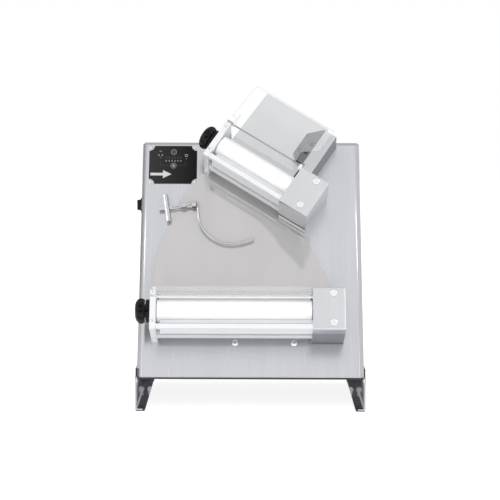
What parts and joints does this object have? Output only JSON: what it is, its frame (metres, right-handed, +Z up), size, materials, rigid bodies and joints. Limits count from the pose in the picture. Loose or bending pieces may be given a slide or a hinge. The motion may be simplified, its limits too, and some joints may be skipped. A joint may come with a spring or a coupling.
{
  "type": "pizza dough roller",
  "caption": "Two-stage electric pizza dough roller: leaning stainless body on skids, tilted short rollers above a long level pair, slide sheet and turning pendulum.",
  "frame": {"origin": "on the bench, at the centre of the four fixing holes in the two skids", "axes": "+X right as seen from the front, +Y from the front into the machine, +Z up"},
  "size_m": [0.5047, 0.414, 0.6869],
  "materials": {
    "brushed_stainless": "vertical brushed grain, satin",
    "slide_stainless": "fine cross-brushed, slightly warmer and brighter than the body",
    "polished_stainless": "mirror polished",
    "satin_aluminium": "satin, cleaned edges",
    "steel": "bright machined",
    "white_plastic": "smooth, half gloss",
    "black_plastic": "gloss",
    "black_panel": "matt film with light markings",
    "black_rubber": "matt",
    "clear_plastic": "clear sheet, polished",
    "gear_steel": "oiled, machined",
    "motor_paint": "painted, slightly rough",
    "bronze": "machined",
    "board": "lacquered board"
  },
  "bodies": {
    "frame": {"body_shell": "brushed_stainless", "back_cover": "brushed_stainless", "base_plate": "brushed_stainless", "skid_left": "polished_stainless", "skid_right": "polished_stainless", "foot_pads": "black_rubber", "body_screws": "steel", "control_plate": "black_panel", "control_board": "board", "slide_sheet": "slide_stainless", "feed_chute": "slide_stainless", "chute_bracket": "polished_stainless", "main_switch": "black_plastic", "cable_gland": "black_plastic", "pendulum_post": "steel", "lower_guard": "clear_plastic", "lower_end_plate": "satin_aluminium", "lower_gear_plate": "satin_aluminium", "lower_gear_housing": "brushed_stainless", "lower_rear_bushes": "bronze", "lower_gap_collar": "black_plastic", "lower_tie_bars": "satin_aluminium", "lower_scrapers": "white_plastic", "lower_fasteners": "steel", "lower_gear_motor": "motor_paint", "upper_end_plate": "satin_aluminium", "upper_gear_plate": "satin_aluminium", "upper_gear_housing": "brushed_stainless", "upper_rear_bushes": "bronze", "upper_gap_collar": "black_plastic", "upper_tie_bars": "satin_aluminium", "upper_scrapers": "white_plastic", "upper_fasteners": "steel", "upper_gear_motor": "motor_paint"},
    "lower_rear_set": {"lower_rear_roller": "white_plastic", "lower_rear_shaft": "steel", "lower_rear_gear": "gear_steel"},
    "lower_drive": {"lower_drive_gear": "gear_steel"},
    "lower_blocks": {"lower_slide_blocks": "bronze"},
    "lower_front_set": {"lower_front_roller": "white_plastic", "lower_front_shaft": "steel", "lower_front_gear": "gear_steel"},
    "lower_knob": {"lower_gap_knob": "black_plastic", "lower_gap_eccentric": "steel"},
    "upper_rear_set": {"upper_rear_roller": "white_plastic", "upper_rear_shaft": "steel", "upper_rear_gear": "gear_steel"},
    "upper_drive": {"upper_drive_gear": "gear_steel"},
    "upper_blocks": {"upper_slide_blocks": "bronze"},
    "upper_front_set": {"upper_front_roller": "white_plastic", "upper_front_shaft": "steel", "upper_front_gear": "gear_steel"},
    "upper_knob": {"upper_gap_knob": "black_plastic", "upper_gap_eccentric": "steel"},
    "pendulum": {"pendulum_arm": "steel", "counterweight": "steel", "turning_wire": "steel"},
    "guard": {"upper_guard": "clear_plastic", "guard_arms": "clear_plastic"},
    "switch": {"switch_knob": "black_plastic"}
  },
  "joints": [
    {"name": "lower_rear_spin", "type": "hinge", "parent": "frame", "child": "lower_rear_set", "pos_m": [0.1304, -0.11561, 0.19577], "axis": [1, 0, 0], "continuous": true},
    {"name": "lower_drive_spin", "type": "hinge", "parent": "frame", "child": "lower_drive", "pos_m": [0.1304, -0.06732, 0.17117], "axis": [1, 0, 0], "continuous": true},
    {"name": "lower_gap_turn", "type": "hinge", "parent": "frame", "child": "lower_knob", "pos_m": [0.1304, -0.16008, 0.21843], "axis": [1, 0, 0], "range_deg": [-60, 60]},
    {"name": "lower_gap_slide", "type": "slide", "parent": "frame", "child": "lower_blocks", "axis": [0, -0.891, 0.454], "range_m": [-0.0017, 0.0017]},
    {"name": "lower_front_spin", "type": "hinge", "parent": "lower_blocks", "child": "lower_front_set", "pos_m": [0.1304, -0.16008, 0.21843], "axis": [1, 0, 0], "continuous": true},
    {"name": "upper_rear_spin", "type": "hinge", "parent": "frame", "child": "upper_rear_set", "pos_m": [0.08664, 0.01221, 0.44664], "axis": [0.8387, -0.2473, -0.4853], "continuous": true},
    {"name": "upper_drive_spin", "type": "hinge", "parent": "frame", "child": "upper_drive", "pos_m": [0.08664, 0.0605, 0.42203], "axis": [0.8387, -0.2473, -0.4853], "continuous": true},
    {"name": "upper_gap_turn", "type": "hinge", "parent": "frame", "child": "upper_knob", "pos_m": [0.08664, -0.03225, 0.46929], "axis": [0.8387, -0.2473, -0.4853], "range_deg": [-60, 60]},
    {"name": "upper_gap_slide", "type": "slide", "parent": "frame", "child": "upper_blocks", "axis": [0, -0.891, 0.454], "range_m": [-0.0017, 0.0017]},
    {"name": "upper_front_spin", "type": "hinge", "parent": "upper_blocks", "child": "upper_front_set", "pos_m": [0.08664, -0.03225, 0.46929], "axis": [0.8387, -0.2473, -0.4853], "continuous": true},
    {"name": "pendulum_swing", "type": "hinge", "parent": "frame", "child": "pendulum", "pos_m": [-0.1253, 0.01895, 0.42485], "axis": [0, -0.891, 0.454], "range_deg": [-20, 0]},
    {"name": "guard_swing", "type": "hinge", "parent": "frame", "child": "guard", "pos_m": [0.02892, -0.00974, 0.56413], "axis": [0.8387, -0.2473, -0.4853], "range_deg": [0, 100]},
    {"name": "switch_turn", "type": "hinge", "parent": "frame", "child": "switch", "pos_m": [-0.247, 0.09, 0.419], "axis": [-1, 0, 0], "range_deg": [0, 90]}
  ],
  "couplings": [
    {"joint": "lower_front_spin", "follows": "lower_rear_spin", "ratio": -1},
    {"joint": "lower_drive_spin", "follows": "lower_rear_spin", "ratio": -0.8},
    {"joint": "lower_gap_turn", "follows": "lower_gap_slide", "rad_per_m": 615.9},
    {"joint": "upper_front_spin", "follows": "upper_rear_spin", "ratio": -1},
    {"joint": "upper_drive_spin", "follows": "upper_rear_spin", "ratio": -0.8},
    {"joint": "upper_gap_turn", "follows": "upper_gap_slide", "rad_per_m": 615.9}
  ]
}
